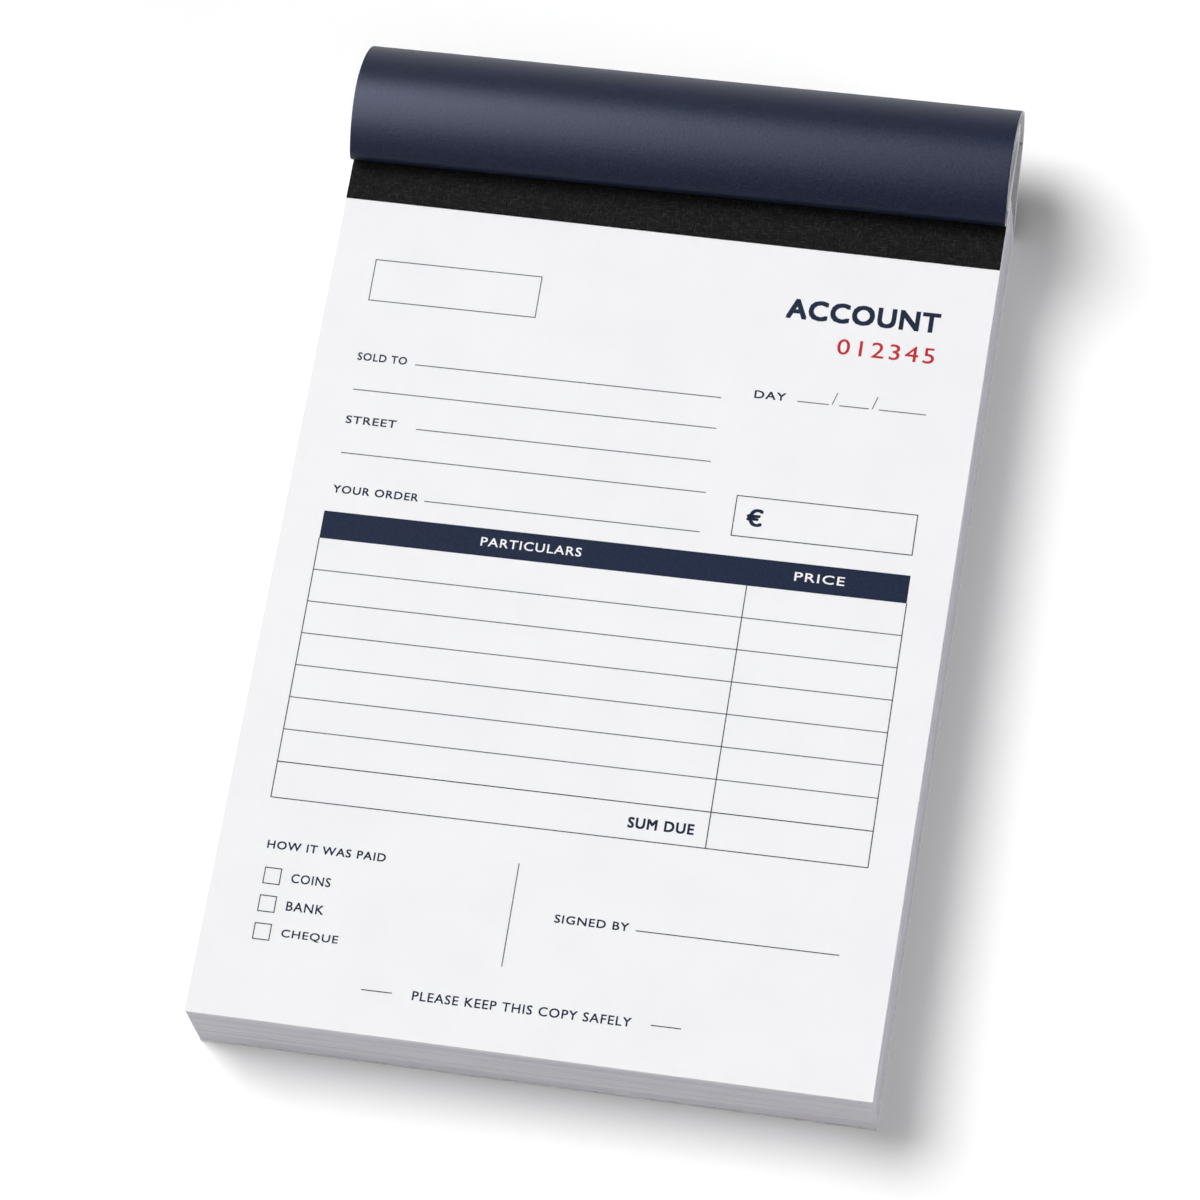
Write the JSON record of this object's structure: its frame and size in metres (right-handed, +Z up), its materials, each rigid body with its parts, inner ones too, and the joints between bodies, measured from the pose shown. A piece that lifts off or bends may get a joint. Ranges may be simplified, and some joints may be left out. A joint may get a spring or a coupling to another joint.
{
  "type": "invoice book",
  "caption": "Portrait pad of perforated form leaves, stapled and tape-bound on a board, with a wrap-around card cover rolled back over the binding.",
  "frame": {"origin": "middle of the back cover's underside, under the middle of the page", "axes": "+X across the page to the right, +Y along the page from the open edge to the binding, +Z up out of the page"},
  "size_m": [0.148, 0.2326, 0.0348],
  "materials": {
    "page_paper": "smooth uncoated white paper with navy and grey print",
    "cover_card": "satin navy card with a fine grain, white inside",
    "grey_board": "uncoated grey board",
    "cloth_tape": "matt black book cloth",
    "glue": "dried white glue",
    "staple_wire": "galvanised stitching wire"
  },
  "bodies": {
    "pad": {"back_cover": "cover_card", "cover_glue": "glue", "spine_glue": "glue", "backing_board": "grey_board", "binding_tape": "cloth_tape", "staple_left": "staple_wire", "staple_right": "staple_wire", "leaf_pack_01": "page_paper", "leaf_pack_02": "page_paper", "leaf_pack_03": "page_paper", "leaf_pack_04": "page_paper", "leaf_pack_05": "page_paper", "leaf_pack_06": "page_paper", "leaf_pack_07": "page_paper", "leaf_pack_08": "page_paper", "leaf_pack_09": "page_paper", "leaf_pack_10": "page_paper", "leaf_pack_11": "page_paper", "leaf_pack_12": "page_paper", "leaf_pack_13": "page_paper", "leaf_pack_14": "page_paper", "leaf_pack_15": "page_paper", "leaf_pack_16": "page_paper", "stub_1": "page_paper", "stub_2": "page_paper", "stub_3": "page_paper", "stub_4": "page_paper", "stub_5": "page_paper", "stub_6": "page_paper", "stub_7": "page_paper", "stub_8": "page_paper"},
    "cover_spine": {"cover_spine_panel": "cover_card"},
    "cover_roll": {"front_cover": "cover_card"},
    "leaf_1": {"leaf_1": "page_paper"},
    "leaf_2": {"leaf_2": "page_paper"},
    "leaf_3": {"leaf_3": "page_paper"},
    "leaf_4": {"leaf_4": "page_paper"},
    "leaf_5": {"leaf_5": "page_paper"},
    "leaf_6": {"leaf_6": "page_paper"},
    "leaf_7": {"leaf_7": "page_paper"},
    "leaf_8": {"leaf_8": "page_paper"}
  },
  "joints": [
    {"name": "lower_score", "type": "hinge", "parent": "pad", "child": "cover_spine", "pos_m": [0, 0.1059, 0.00015], "axis": [-1, 0, 0], "range_deg": [0, 20]},
    {"name": "upper_score", "type": "hinge", "parent": "cover_spine", "child": "cover_roll", "pos_m": [0, 0.12388, 0.01239], "axis": [-1, 0, 0], "range_deg": [0, 80]},
    {"name": "leaf_8_turn", "type": "hinge", "parent": "pad", "child": "leaf_8", "pos_m": [0, 0.0877, 0.02175], "axis": [-1, 0, 0], "range_deg": [0, 10]},
    {"name": "leaf_7_turn", "type": "hinge", "parent": "leaf_8", "child": "leaf_7", "pos_m": [0, 0.0877, 0.02175], "axis": [-1, 0, 0], "range_deg": [0, 10]},
    {"name": "leaf_6_turn", "type": "hinge", "parent": "leaf_7", "child": "leaf_6", "pos_m": [0, 0.0877, 0.02175], "axis": [-1, 0, 0], "range_deg": [0, 10]},
    {"name": "leaf_5_turn", "type": "hinge", "parent": "leaf_6", "child": "leaf_5", "pos_m": [0, 0.0877, 0.02175], "axis": [-1, 0, 0], "range_deg": [0, 10]},
    {"name": "leaf_4_turn", "type": "hinge", "parent": "leaf_5", "child": "leaf_4", "pos_m": [0, 0.0877, 0.02175], "axis": [-1, 0, 0], "range_deg": [0, 10]},
    {"name": "leaf_3_turn", "type": "hinge", "parent": "leaf_4", "child": "leaf_3", "pos_m": [0, 0.0877, 0.02175], "axis": [-1, 0, 0], "range_deg": [0, 10]},
    {"name": "leaf_2_turn", "type": "hinge", "parent": "leaf_3", "child": "leaf_2", "pos_m": [0, 0.0877, 0.02175], "axis": [-1, 0, 0], "range_deg": [0, 10]},
    {"name": "leaf_1_turn", "type": "hinge", "parent": "leaf_2", "child": "leaf_1", "pos_m": [0, 0.0877, 0.02175], "axis": [-1, 0, 0], "range_deg": [0, 65]}
  ]
}
